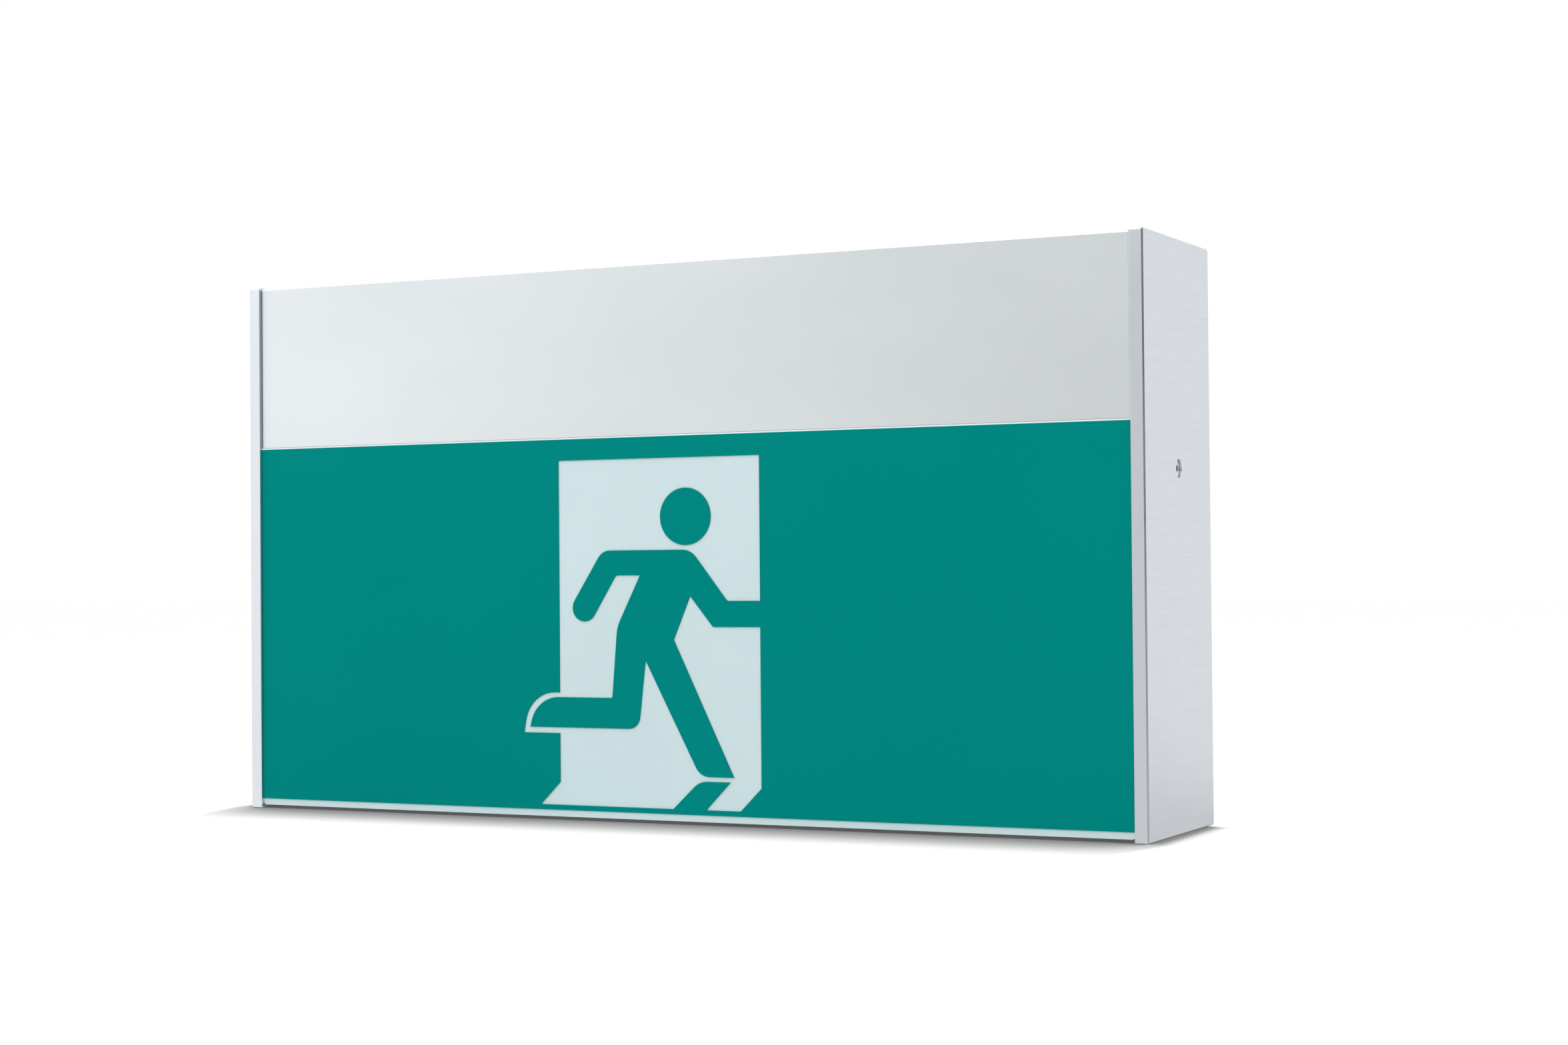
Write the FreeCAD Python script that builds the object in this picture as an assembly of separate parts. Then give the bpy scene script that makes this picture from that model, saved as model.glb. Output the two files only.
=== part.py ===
"""Self-contained emergency exit light for a wall: an extruded aluminium housing with two end caps.

The housing has a light chamber in front, behind a lit legend panel, and an L-shaped gear space that
runs behind the chamber and over it, behind the upper front cover. Sizes are in millimetres. +X runs
along the housing, -Y is the front, +Z is up, and the end caps stand on the plane Z = 0.
"""
import FreeCAD
import Part
import math
import os

V = FreeCAD.Vector

# Overall, over the end caps
LENGTH = 350.0
DEPTH = 68.0
HEIGHT = 194.0

# End caps, and how far they stand proud of the housing on each side
CAP_T = 4.2
CAP_CORNER_R = 0.8
CAP_BEVEL = 0.55
PROUD_FACE = 1.0
PROUD_TOP = 0.5
PROUD_BASE = 1.2
RIM_T = 1.6
RIM_LENGTH = 5.0
RIM_GAP = 0.3
GEAR_END_GAP = 1.0
CAP_SCREW_Z = 118.9

# Clearances: between front pieces and caps, and between pieces that snap or butt
END_GAP = 0.6
FIT = 0.2

# Housing extrusion
WALL = 1.6
WEB_T = 1.6
INNER_R = 1.0
PORT_R = 4.0
PORT_SLOT = 1.6
TRAY_LEDGE = 8.0

# Legend panel: opal diffuser with a green film
FILM_T = 0.3
PANEL_T = 2.5
PANEL_CORNER_R = 1.2
LEGEND_MARGIN = 2.3
LEGEND_H = 130.4

# Pictogram: a doorway in the film, drawn for a doorway 120.6 high and scaled to fit
DOOR_DRAWN_H = 120.6
DOOR_SILL = 1.8
DOOR_HEADROOM = 8.0
DOOR_SHIFT = -1.25

# Upper front cover
COVER_T = 1.5
COVER_FLANGE = 9.0
COVER_BEND_R = 0.8
COVER_END_BEVEL = 0.5

# Snap legs of the panel and the cover, and the ribs that hold them
SNAP_T = 1.4
SNAP_RIB_H = 1.2
SNAP_REACH = 5.2

# Countersunk screws of the end caps and the underside
SCREW_D = 3.0
SCREW_HEAD_D = 5.6
SINK_D = 6.2
HOLE_D = 3.4
SOCKET_AF = 2.0
SOCKET_DEPTH = 1.0
CAP_SCREW_L = 16.0
BASE_SCREW_L = 5.0

# Hexagon-head screws inside
HEX_AF = 5.5
HEX_HEAD_H = 2.0
BOARD_SCREW_D = 2.5
BOARD_HEX_AF = 4.5

# Light sources and reflector
REFLECTOR_T = 0.6
REFLECTOR_LIP = 1.0
LED_BOARD_W = 14.0
LED_BOARD_T = 1.6
LED_PITCH = 20.0
LED_SIZE = 3.0
LED_H = 0.8

# Battery stick and its clips
CELLS = 4
CELL_D = 26.2
CELL_L = 50.0
CELL_GROOVE = 0.5
CLIP_T = 1.4
CLIP_W = 14.0
CLIP_FOOT = 4.0
CLIP_ROOM = 0.8
CLIP_MOUTH = 100.0
CLIP_AT = (0.25, 0.75)
CELLS_FROM_END = 1.0

# Gear tray, control gear, terminals
TRAY_T = 1.0
TRAY_UPSTAND = 8.0
TRAY_FRONT_GAP = 2.0
TRAY_SCREW_IN = 6.0
TRAY_SCREW_BACK = 2.2
GEAR_FROM_END = 8.0
GEAR_L = 130.0
GEAR_W = 40.0
GEAR_H = 28.0
GEAR_STEP_L = 14.0
GEAR_STEP_H = 17.0
GEAR_TAB = 10.0
GEAR_TAB_T = 2.0
GEAR_EDGE_R = 1.5
MOUTH = 3.0
MOUTH_PITCH = 7.5
MOUTH_DEPTH = 8.0
POLES = 4
POLE_PITCH = 10.0
BLOCK_FROM_END = 48.0
BLOCK_SLIT = 1.0
DRIVER_SLOT = 0.8
EARTH_FROM_BLOCK = 14.0
BLOCK_W = 20.0
BLOCK_H = 16.0
WELL_D = 5.0
WIRE_D = 4.0

# Cable entry and wall slots in the back
GROMMET_HOLE_D = 16.0
GROMMET_FLANGE_D = 20.0
GROMMET_BORE_D = 8.0
GROMMET_INNER_T = 2.5
ENTRY_BELOW_TOP = 30.0
SLOT_W = 5.0
SLOT_L = 9.0
SLOT_SPACING = 250.0
SLOT_BELOW_TOP = 15.0

# Test button, its switch and the charge lamp, on the underside
TEST_FROM_CAP = 45.0
TEST_SPREAD = 16.0
BUTTON_D = 6.8
BUTTON_GAP = 0.1
BUTTON_PROUD = 0.5
BUTTON_FLANGE_D = 9.0
BUTTON_FLANGE_T = 1.0
BUTTON_TRAVEL = 1.2
STEM_D = 3.2
STEM_IN_SWITCH = 1.6
STEM_WAY = 0.8
SWITCH_SIZE = 7.0
SWITCH_H = 5.0
HOLDER_L = 50.0
HOLDER_W = 20.0
HOLDER_T = 2.5
HOLDER_H = 11.2
HOLDER_WALL = 3.5
HOLDER_BOSS_D = 6.5
HOLDER_BOSS_H = 3.0
HOLDER_SCREW_IN = 8.0
BOARD_MARGIN = 1.0
BOARD_T = 1.6
LENS_D = 3.0
LENS_PROUD = 0.5
LAMP_H = 3.0
LAMP_RIM = 0.3
PEG_D = 2.5

# Planes that the sizes above lead to
x_in = LENGTH / 2 - CAP_T
x_face = x_in - END_GAP
x_gear = x_in - RIM_LENGTH - GEAR_END_GAP
y_face = -DEPTH / 2 + PROUD_FACE
y_back = DEPTH / 2 - PROUD_FACE
y_panel = y_face + FILM_T
y_panel_back = y_panel + PANEL_T
y_cover_back = y_face + COVER_T
y_rib = y_panel_back + SNAP_REACH
y_snap_end = y_rib + 2 * SNAP_T + FIT
y_rear = y_back - WALL
rear_depth = CELL_D + 2 * (CLIP_T + CLIP_ROOM)
y_web_back = y_rear - rear_depth
y_web = y_web_back - WEB_T / 2
y_web_front = y_web_back - WEB_T
y_rear_mid = (y_web_back + y_rear) / 2
z_base = PROUD_BASE
z_floor = z_base + WALL
z_legend = z_base + LEGEND_MARGIN
z_split = z_legend + LEGEND_H
z_shelf_under = z_split + FIT
z_shelf = z_shelf_under + WALL
z_top = HEIGHT - PROUD_TOP
z_roof = z_top - WALL
z_ledge = z_top - COVER_T
z_board = z_floor + HOLDER_H


def in_yz(point):
    """A drawn point as a point of the plane X = 0."""
    return V(0, point.x, point.y)


def in_xz(point):
    """A drawn point as a point of the plane Y = 0."""
    return V(point.x, 0, point.y)


def in_xy(point):
    """A drawn point as a point of the plane Z = 0."""
    return V(point.x, point.y, 0)


def outline(corners, place):
    """Face with straight sides; a corner with a third value is rounded to that radius."""
    points = [V(corner[0], corner[1], 0) for corner in corners]
    turns = []
    for i, here in enumerate(points):
        radius = corners[i][2] if len(corners[i]) > 2 else 0.0
        if not radius:
            turns.append((here, None, here))
            continue
        back = (points[i - 1] - here).normalize()
        ahead = (points[(i + 1) % len(points)] - here).normalize()
        half = back.getAngle(ahead) / 2
        run = radius / math.tan(half)
        middle = here + (back + ahead).normalize() * (radius / math.sin(half) - radius)
        turns.append((here + back * run, middle, here + ahead * run))
    edges = []
    for i, (start, middle, end) in enumerate(turns):
        if middle:
            edges.append(Part.Arc(place(start), place(middle), place(end)).toShape())
        following = turns[(i + 1) % len(turns)][0]
        if end.distanceToPoint(following) > 1e-6:
            edges.append(Part.makeLine(place(end), place(following)))
    return Part.Face(Part.Wire(edges))


def along_x(corners, x0, x1):
    """Bar with a drawn (y, z) section, from x0 to x1."""
    bar = outline(corners, in_yz).extrude(V(x1 - x0, 0, 0))
    return bar.translated(V(x0, 0, 0))


def along_y(corners, y0, y1):
    """Plate with a drawn (x, z) outline, from y0 to y1."""
    plate = outline(corners, in_xz).extrude(V(0, y1 - y0, 0))
    return plate.translated(V(0, y0, 0))


def along_z(corners, z0, z1):
    """Block with a drawn (x, y) outline, from z0 to z1."""
    block = outline(corners, in_xy).extrude(V(0, 0, z1 - z0))
    return block.translated(V(0, 0, z0))


def rectangle(a0, a1, b0, b1, radius=0.0):
    """Corners of a rectangle, all rounded to one radius."""
    return [(a0, b0, radius), (a1, b0, radius), (a1, b1, radius), (a0, b1, radius)]


def box(x0, x1, y0, y1, z0, z1):
    """Block between two corners."""
    return Part.makeBox(x1 - x0, y1 - y0, z1 - z0, V(x0, y0, z0))


def rod(diameter, start, end):
    """Round bar from one point to another."""
    axis = end - start
    return Part.makeCylinder(diameter / 2, axis.Length, start, axis)


def turned(stations, start, axis):
    """Solid of revolution from (distance along the axis, radius) stations, closed at both ends."""
    corners = [(radius, distance) for distance, radius in stations]
    corners = [(0.0, stations[0][0])] + corners + [(0.0, stations[-1][0])]
    solid = outline(corners, in_xz).revolve(V(0, 0, 0), V(0, 0, 1), 360)
    solid.Placement = FreeCAD.Placement(start, FreeCAD.Rotation(V(0, 0, 1), axis))
    return solid


def fused(shapes):
    """One solid from touching or crossing shapes, with no seams on its flat faces."""
    return shapes[0].fuse(shapes[1:]).removeSplitter()


def hexagon(across_flats):
    """Corners of a hexagon about the origin."""
    radius = across_flats / math.sqrt(3)
    turns = [math.radians(60 * k) for k in range(6)]
    return [(radius * math.cos(turn), radius * math.sin(turn)) for turn in turns]


def countersink(face_point, inward, depth):
    """Cutter for a countersunk screw's hole, from a face point inwards."""
    straight = (SINK_D - HOLE_D) / 2
    stations = [(-0.1, SINK_D / 2), (0.0, SINK_D / 2), (straight, HOLE_D / 2), (depth, HOLE_D / 2)]
    return turned(stations, face_point, inward)


def countersunk_screw(face_point, inward, length):
    """Socket screw whose 90 degree head seats in a countersink, a little under the face."""
    sunk = (SINK_D - SCREW_HEAD_D) / 2
    neck = sunk + (SCREW_HEAD_D - SCREW_D) / 2
    stations = [(sunk, SCREW_HEAD_D / 2), (neck, SCREW_D / 2), (length, SCREW_D / 2)]
    screw = turned(stations, face_point, inward)
    socket = along_z(hexagon(SOCKET_AF), sunk - 0.1, sunk + SOCKET_DEPTH)
    socket.Placement = FreeCAD.Placement(face_point, FreeCAD.Rotation(V(0, 0, 1), inward))
    return screw.cut(socket)


def hex_screw(seat, inward, length, shank_d, across_flats):
    """Hexagon-head screw whose head stands on a seat."""
    shank = rod(shank_d, V(0, 0, 0), V(0, 0, length))
    screw = fused([along_z(hexagon(across_flats), -HEX_HEAD_H, 0), shank])
    screw.Placement = FreeCAD.Placement(seat, FreeCAD.Rotation(V(0, 0, 1), inward))
    return screw


# ---- places that several pieces share ----

def cap_screw_places():
    """Outer face point and inward direction of each end cap's screw."""
    return [(V(side * LENGTH / 2, y_web, CAP_SCREW_Z), V(-side, 0, 0)) for side in (-1, 1)]


def wall_slot_centres():
    return [V(side * SLOT_SPACING / 2, y_back, z_top - SLOT_BELOW_TOP) for side in (-1, 1)]


def block_centre():
    """Middle of the terminal block, in plan, which the cable entry lines up with."""
    length = POLES * POLE_PITCH
    return V(x_gear - BLOCK_FROM_END - length / 2, (y_snap_end + y_rear) / 2, z_shelf + TRAY_T)


def entry_centre():
    return V(block_centre().x, y_back, z_top - ENTRY_BELOW_TOP)


def battery_start():
    return V(-x_gear + CELLS_FROM_END, y_rear_mid, z_floor + CLIP_FOOT + CELL_D / 2)


def clip_places():
    """Middle of each battery clip along the stick."""
    start = battery_start()
    return [start + V(CELLS * CELL_L * share, 0, 0) for share in CLIP_AT]


def button_centre():
    return V(x_in - TEST_FROM_CAP - TEST_SPREAD / 2, y_rear_mid, 0)


def lens_centre():
    return V(x_in - TEST_FROM_CAP + TEST_SPREAD / 2, y_rear_mid, 0)


def holder_ends():
    middle = x_in - TEST_FROM_CAP
    return middle - HOLDER_L / 2, middle + HOLDER_L / 2


def base_screw_places():
    """Screws in the underside: one for each battery clip, two for the switch holder."""
    x0, x1 = holder_ends()
    places = [V(clip.x, y_rear_mid, z_base) for clip in clip_places()]
    return places + [V(x, y_rear_mid, z_base) for x in (x0 + HOLDER_SCREW_IN, x1 - HOLDER_SCREW_IN)]


def led_places():
    """Middles of the light sources, an even number at one pitch."""
    count = 2 * int((2 * x_gear - LED_PITCH) / (2 * LED_PITCH))
    return [(i - (count - 1) / 2) * LED_PITCH for i in range(count)]


def led_screw_places():
    """Screws of the light board, midway between its last two light sources at each end."""
    last = led_places()[-1] - LED_PITCH / 2
    return [-last, last]


def tray_screw_places():
    """Screws of the gear tray, one through the ledge and one through the shelf."""
    x = x_gear - TRAY_SCREW_IN
    return [(-x, y_rear - TRAY_LEDGE / 2), (x, y_web_front - TRAY_SCREW_BACK)]


def gear_tab_places():
    """Screws through the control gear's two end tabs."""
    x0 = -x_gear + GEAR_FROM_END
    x1 = x0 + 2 * GEAR_TAB + GEAR_L
    y = block_centre().y
    return [(x0 + GEAR_TAB / 2, y), (x1 - GEAR_TAB / 2, y)]


# ---- housing, caps and front ----

def snap_rib(z, up):
    """Rib on a housing wall that a snap leg's barb holds behind; up is 1 or -1."""
    return box(-x_in, x_in, y_rib, y_rib + SNAP_T, *sorted((z, z + up * SNAP_RIB_H)))


def snap_leg(y0, z, up):
    """Leg that reaches over a rib, with a barb at its end; z is the wall that carries the rib."""
    near = z + up * (SNAP_RIB_H + FIT)
    far = near + up * SNAP_T
    barb = z + up * (FIT + 0.1)
    front = y_rib + SNAP_T + FIT
    corners = [(y0, far), (y0, near), (front, near), (front, barb), (y_snap_end, near), (y_snap_end, far)]
    return along_x(corners, -x_face, x_face)


def housing_profile():
    """Extrusion: back, roof, floor, shelf and web, with ribs, a tray ledge and a screw port."""
    nose = y_cover_back + FIT
    outside = -DEPTH
    section = outline(rectangle(nose, y_back, z_base, z_top), in_yz)
    floor_nose = y_panel_back + FIT
    chamber = [
        (outside, z_floor), (y_web_front, z_floor, INNER_R),
        (y_web_front, z_shelf_under, INNER_R), (outside, z_shelf_under),
    ]
    rebate = y_face + COVER_FLANGE + FIT
    gear_space = [
        (outside, z_shelf), (y_web_back, z_shelf), (y_web_back, z_floor, INNER_R), (y_rear, z_floor, INNER_R),
        (y_rear, z_roof, INNER_R), (rebate + WALL, z_roof), (rebate + WALL, z_ledge - WALL),
        (outside, z_ledge - WALL),
    ]
    voids = [
        outline(chamber, in_yz), outline(gear_space, in_yz),
        outline(rectangle(outside, floor_nose, 0, z_floor), in_yz),
        outline(rectangle(outside, rebate, z_ledge, HEIGHT), in_yz),
    ]
    body = section.cut(voids).Faces[0].extrude(V(2 * x_in, 0, 0)).translated(V(-x_in, 0, 0))
    ledge = box(-x_in, x_in, y_rear - TRAY_LEDGE, y_rear, z_shelf_under, z_shelf)
    port = rod(2 * PORT_R, V(-x_in, y_web, CAP_SCREW_Z), V(x_in, y_web, CAP_SCREW_Z))
    ribs = [snap_rib(z_floor, 1), snap_rib(z_shelf_under, -1), snap_rib(z_shelf, 1)]
    body = fused([body, ledge, port] + ribs)
    cutters = [
        rod(SCREW_D, V(-x_in, y_web, CAP_SCREW_Z), V(x_in, y_web, CAP_SCREW_Z)),
        box(-x_in, x_in, y_web, y_web + 2 * PORT_R, CAP_SCREW_Z - PORT_SLOT / 2, CAP_SCREW_Z + PORT_SLOT / 2),
    ]
    for centre in wall_slot_centres():
        half = (SLOT_L - SLOT_W) / 2
        for shift in (-half, half):
            middle = centre + V(shift, 0, 0)
            cutters.append(rod(SLOT_W, middle - V(0, 2 * WALL, 0), middle + V(0, WALL, 0)))
        cutters.append(box(centre.x - half, centre.x + half, y_back - 2 * WALL, y_back + WALL,
                           centre.z - SLOT_W / 2, centre.z + SLOT_W / 2))
    entry = entry_centre()
    cutters.append(rod(GROMMET_HOLE_D, entry - V(0, 2 * WALL, 0), entry + V(0, WALL, 0)))
    for place in base_screw_places():
        cutters.append(countersink(place, V(0, 0, 1), 2 * WALL))
    button, lens = button_centre(), lens_centre()
    cutters.append(rod(BUTTON_D + 2 * BUTTON_GAP, button, button + V(0, 0, z_floor + 1.0)))
    cutters.append(rod(LENS_D, lens, lens + V(0, 0, z_floor + 1.0)))
    for x in led_screw_places():
        cutters.append(rod(BOARD_SCREW_D, V(x, led_row(), z_shelf_under), V(x, led_row(), z_shelf)))
    for x, y in tray_screw_places():
        cutters.append(rod(SCREW_D, V(x, y, z_shelf_under), V(x, y, z_shelf)))
    return body.cut(cutters)


def end_cap(side):
    """Plate with a bevelled outer edge, two locating rims inside and a countersunk screw hole."""
    corners = rectangle(-DEPTH / 2, DEPTH / 2, 0, HEIGHT, CAP_CORNER_R)
    plate = along_x(corners, x_in, x_in + CAP_T)
    outer = [edge for edge in plate.Edges if edge.BoundBox.XMin > x_in + CAP_T - 1e-6]
    plate = plate.makeChamfer(CAP_BEVEL, outer)
    rims = []
    spaces = [
        (y_snap_end + RIM_GAP, y_rear - RIM_GAP, z_shelf + RIM_GAP, z_roof - RIM_GAP),
        (y_web_back + RIM_GAP, y_rear - RIM_GAP, z_floor + RIM_GAP, z_shelf_under - RIM_GAP),
    ]
    for y0, y1, z0, z1 in spaces:
        rim = along_x(rectangle(y0, y1, z0, z1, INNER_R), x_in - RIM_LENGTH, x_in)
        hollow = rectangle(y0 + RIM_T, y1 - RIM_T, z0 + RIM_T, z1 - RIM_T)
        rims.append(rim.cut(along_x(hollow, x_in - RIM_LENGTH, x_in)))
    port = rod(2 * (PORT_R + RIM_GAP), V(x_in - RIM_LENGTH, y_web, CAP_SCREW_Z), V(x_in, y_web, CAP_SCREW_Z))
    rims = [rim.cut(port) for rim in rims]
    cap = fused([plate] + rims)
    cap = cap.cut(countersink(V(LENGTH / 2, y_web, CAP_SCREW_Z), V(-1, 0, 0), 2 * CAP_T))
    return cap if side > 0 else cap.mirror(V(0, 0, 0), V(1, 0, 0))


def end_cap_screws():
    return Part.makeCompound([countersunk_screw(*place, CAP_SCREW_L) for place in cap_screw_places()])


def front_cover():
    """Upper front: wall and roof flange in one bend, with a snap leg over the shelf."""
    z0 = z_split + FIT / 2
    y_end = y_face + COVER_FLANGE
    corners = [
        (y_face, z0), (y_cover_back, z0), (y_cover_back, z_ledge), (y_end, z_ledge), (y_end, z_top),
        (y_face, z_top, COVER_BEND_R),
    ]
    skin = along_x(corners, -x_face, x_face)
    ends = [
        edge for edge in skin.Edges
        if edge.BoundBox.YMax < y_face + 1e-6 and edge.BoundBox.XLength < 1e-6
    ]
    skin = skin.makeChamfer(COVER_END_BEVEL, ends)
    return fused([skin, snap_leg(y_cover_back, z_shelf, 1)])


def diffuser():
    """Opal panel, cut to length with rounded lower corners, with a snap leg over and under."""
    corners = [
        (-x_face, z_base, PANEL_CORNER_R), (x_face, z_base, PANEL_CORNER_R),
        (x_face, z_split), (-x_face, z_split),
    ]
    panel = along_y(corners, y_panel, y_panel_back)
    return fused([panel, snap_leg(y_panel_back, z_floor, 1), snap_leg(y_panel_back, z_shelf_under, -1)])


def doorway():
    """Opening of the doorway, with its threshold running out to the left, and the heel's margin."""
    return [
        [(-39.6, 120.6), (39.6, 120.6), (39.6, 8.0), (31.6, 0.0), (-47.6, 0.0), (-39.6, 8.0)],
        [(-38.0, 39.3), (-51.9, 39.3, 12.0), (-54.4, 25.1), (-38.0, 25.1)],
    ]


def runner():
    """Outline of the running figure, from the forearm that meets the right jamb, anticlockwise."""
    return [
        (41.0, 71.3), (27.0, 71.3, 1.5), (13.0, 88.9, 7.0), (-22.0, 88.9, 5.5),
        (-35.9, 67.6, 4.7), (-27.9, 62.4, 4.7), (-16.6, 80.2, 1.5), (-7.0, 80.2),
        (-16.2, 62.3, 12.0), (-18.3, 37.7, 0.7), (-49.6, 37.7, 11.5), (-51.8, 27.1),
        (-7.8, 27.1, 4.5), (-5.0, 50.9), (16.2, 11.3, 6.0), (29.2, 11.3),
        (6.2, 58.0), (12.7, 73.0), (21.5, 62.4, 1.0), (41.0, 62.4),
    ]


def foot_shadow():
    """Shadow of the front foot, which grows out of the threshold."""
    return [(4.5, -1.0), (15.9, 9.7, 7.0), (27.8, 9.7), (17.4, -1.0)]


def legend_film():
    """Green film: field, doorway, figure, head and shadow, drawn about the doorway's sill."""
    scale = (LEGEND_H - DOOR_SILL - DOOR_HEADROOM) / DOOR_DRAWN_H
    sill = V(DOOR_SHIFT, y_face, z_legend + DOOR_SILL)

    def sheet(corners):
        grown = [(c[0] * scale, c[1] * scale) + tuple(r * scale for r in c[2:]) for c in corners]
        return along_y(grown, 0, FILM_T).translated(sill)

    field = along_y(rectangle(-x_face, x_face, z_legend, z_split), y_face, y_panel)
    field = field.cut([sheet(corners) for corners in doorway()])
    field = fused([field, sheet(runner()), sheet(foot_shadow())])
    head_centre = sill + V(11.0 * scale, 0, 100.3 * scale)
    head = rod(2 * 9.87 * scale, head_centre, head_centre + V(0, FILM_T, 0))
    return Part.makeCompound([field, head])


# ---- light chamber ----

def led_row():
    """Middle of the light board across the chamber."""
    return (y_snap_end + y_web_front) / 2


def reflector():
    """White sheet up the web's front to the screw port, swept forward over the floor in one bend."""
    radius = y_web_front - y_snap_end - REFLECTOR_LIP
    front = y_web_front - radius - REFLECTOR_LIP / 2
    top = CAP_SCREW_Z - PORT_R - FIT
    face, lower = y_web_front - REFLECTOR_T, z_floor + REFLECTOR_T
    corners = [
        (y_web_front, top), (y_web_front, z_floor, radius), (front, z_floor),
        (front, lower), (face, lower, radius - REFLECTOR_T), (face, top),
    ]
    return along_x(corners, -x_gear, x_gear)


def led_board():
    y = led_row()
    z0 = z_shelf_under - LED_BOARD_T
    board = box(-x_gear, x_gear, y - LED_BOARD_W / 2, y + LED_BOARD_W / 2, z0, z_shelf_under)
    holes = [
        rod(BOARD_SCREW_D + FIT, V(x, y, z0 - LED_BOARD_T), V(x, y, z_shelf))
        for x in led_screw_places()
    ]
    return board.cut(holes)


def led_chips():
    y, z, half = led_row(), z_shelf_under - LED_BOARD_T, LED_SIZE / 2
    chips = [box(x - half, x + half, y - half, y + half, z - LED_H, z) for x in led_places()]
    return Part.makeCompound(chips)


def led_board_screws():
    z = z_shelf_under - LED_BOARD_T
    length = LED_BOARD_T + WALL
    return Part.makeCompound([
        hex_screw(V(x, led_row(), z), V(0, 0, 1), length, BOARD_SCREW_D, BOARD_HEX_AF)
        for x in led_screw_places()
    ])


# ---- gear space above the shelf ----

def gear_tray():
    """Folded tray on the shelf and the back ledge, with an upstand along the front."""
    y0, y1 = y_snap_end + TRAY_FRONT_GAP, y_rear - RIM_GAP
    z1 = z_shelf + TRAY_T
    corners = [
        (y0, z_shelf, TRAY_T), (y1, z_shelf), (y1, z1), (y0 + TRAY_T, z1),
        (y0 + TRAY_T, z1 + TRAY_UPSTAND), (y0, z1 + TRAY_UPSTAND),
    ]
    tray = along_x(corners, -x_gear, x_gear)
    holes = [rod(HOLE_D, V(x, y, z_shelf - 1.0), V(x, y, z1 + 1.0)) for x, y in tray_screw_places()]
    holes += [rod(SCREW_D, V(x, y, z_shelf - 1.0), V(x, y, z1 + 1.0)) for x, y in gear_tab_places()]
    earth = earth_place()
    holes.append(rod(SCREW_D, earth - V(0, 0, 2 * TRAY_T), earth + V(0, 0, 1.0)))
    return tray.cut(holes)


def tray_screws():
    z = z_shelf + TRAY_T
    return Part.makeCompound([
        hex_screw(V(x, y, z), V(0, 0, -1), TRAY_T + WALL, SCREW_D, HEX_AF) for x, y in tray_screw_places()
    ])


def control_gear():
    """Moulded converter case with stepped terminal ends and a screw tab at each end."""
    (xa, y), (xb, _) = gear_tab_places()
    x0, x1 = xa + GEAR_TAB / 2, xb - GEAR_TAB / 2
    z0 = z_shelf + TRAY_T
    corners = [
        (x0, z0), (x1, z0), (x1, z0 + GEAR_STEP_H), (x1 - GEAR_STEP_L, z0 + GEAR_STEP_H),
        (x1 - GEAR_STEP_L, z0 + GEAR_H, GEAR_EDGE_R), (x0 + GEAR_STEP_L, z0 + GEAR_H, GEAR_EDGE_R),
        (x0 + GEAR_STEP_L, z0 + GEAR_STEP_H), (x0, z0 + GEAR_STEP_H),
    ]
    case = along_y(corners, y - GEAR_W / 2, y + GEAR_W / 2)
    tabs = box(xa - GEAR_TAB / 2, xb + GEAR_TAB / 2, y - GEAR_W / 4, y + GEAR_W / 4, z0, z0 + GEAR_TAB_T)
    case = fused([case, tabs])
    cuts = [rod(HOLE_D, V(x, y, z0 - 1.0), V(x, y, z0 + GEAR_TAB_T + 1.0)) for x in (xa, xb)]
    z = z0 + GEAR_STEP_H / 2
    for k in range(POLES):
        middle = y + (k - (POLES - 1) / 2) * MOUTH_PITCH
        sides = (middle - MOUTH / 2, middle + MOUTH / 2, z - MOUTH / 2, z + MOUTH / 2)
        cuts.append(box(x0, x0 + MOUTH_DEPTH, *sides))
        cuts.append(box(x1 - MOUTH_DEPTH, x1, *sides))
    return case.cut(cuts)


def gear_screws():
    z = z_shelf + TRAY_T + GEAR_TAB_T
    return Part.makeCompound([
        hex_screw(V(x, y, z), V(0, 0, -1), GEAR_TAB_T + TRAY_T, SCREW_D, HEX_AF) for x, y in gear_tab_places()
    ])


def pole_places():
    centre = block_centre()
    return [centre + V((k - (POLES - 1) / 2) * POLE_PITCH, 0, 0) for k in range(POLES)]


def terminal_block():
    """Screw terminal block with a well over each pole, a wire way through it and slits between."""
    centre = block_centre()
    half_l, half_w, shoulder = POLES * POLE_PITCH / 2, BLOCK_W / 2, BLOCK_W / 4
    half_z, top = centre.z + BLOCK_H / 2, centre.z + BLOCK_H
    corners = [
        (centre.y - half_w, centre.z), (centre.y + half_w, centre.z), (centre.y + half_w, half_z),
        (centre.y + shoulder, top), (centre.y - shoulder, top), (centre.y - half_w, half_z),
    ]
    block = along_x(corners, centre.x - half_l, centre.x + half_l)
    y0, y1 = centre.y - BLOCK_W, centre.y + BLOCK_W
    cuts = []
    for place in pole_places():
        cuts.append(rod(WELL_D, V(place.x, centre.y, half_z), V(place.x, centre.y, top)))
        way = half_z - BLOCK_H / 4
        half = WIRE_D / 2
        cuts.append(box(place.x - half, place.x + half, y0, y1, way - half, way + half))
    for place in pole_places()[1:]:
        x = place.x - POLE_PITCH / 2
        cuts.append(box(x - BLOCK_SLIT / 2, x + BLOCK_SLIT / 2, y0, y1, top - BLOCK_H / 5, top))
    return block.cut(cuts)


def terminal_screws():
    """Slotted screws at the bottom of the block's wells."""
    screws = []
    for place in pole_places():
        foot = place + V(0, 0, BLOCK_H / 2)
        top = foot + V(0, 0, BLOCK_H / 4)
        screw = rod(WELL_D - 2 * FIT, foot, top)
        slot = box(top.x - WELL_D, top.x + WELL_D, top.y - DRIVER_SLOT / 2, top.y + DRIVER_SLOT / 2,
                   top.z - DRIVER_SLOT, top.z)
        screws.append(screw.cut(slot))
    return Part.makeCompound(screws)


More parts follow.
